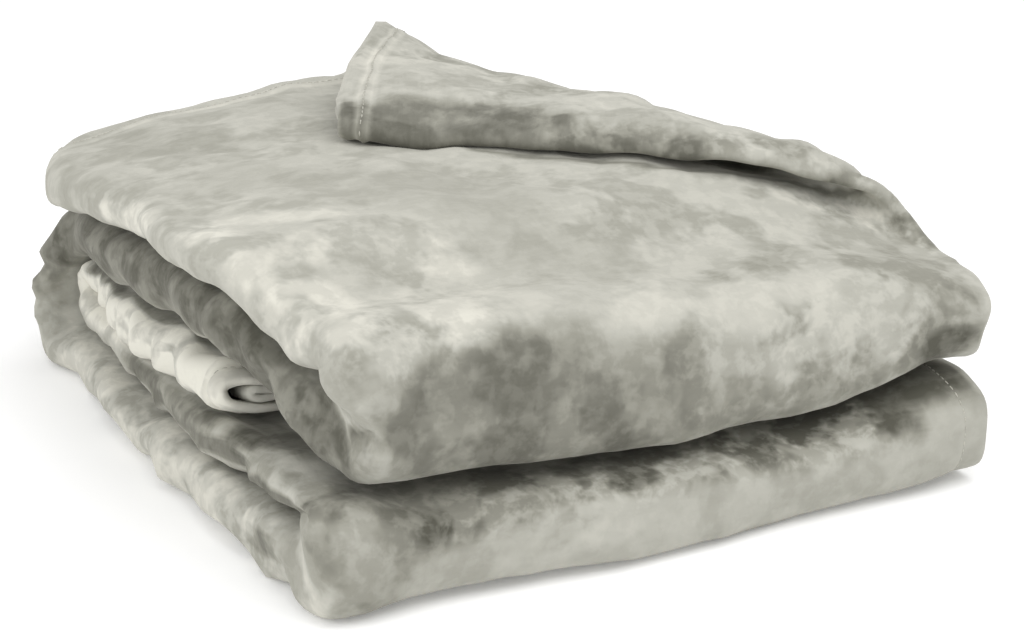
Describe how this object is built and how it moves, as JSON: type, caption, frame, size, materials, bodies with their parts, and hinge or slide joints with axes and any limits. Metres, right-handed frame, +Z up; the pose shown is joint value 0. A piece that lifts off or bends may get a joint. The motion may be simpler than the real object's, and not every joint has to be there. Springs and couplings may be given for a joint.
{
  "type": "fleece blanket",
  "caption": "Plush fleece blanket folded into a thick stack, with soft rounded folds at the front, a tucked inner layer at the side and a top corner turned back over itself.",
  "frame": {"origin": "middle of the folded blanket's footprint, on the surface it rests on", "axes": "+X to the right along the front folds, +Y from the front folds to the back, +Z up"},
  "size_m": [0.4164, 0.4436, 0.1785],
  "materials": {
    "fleece": "plush pile with a soft sheen"
  },
  "bodies": {
    "root": {"blanket": "fleece"}
  },
  "joints": []
}
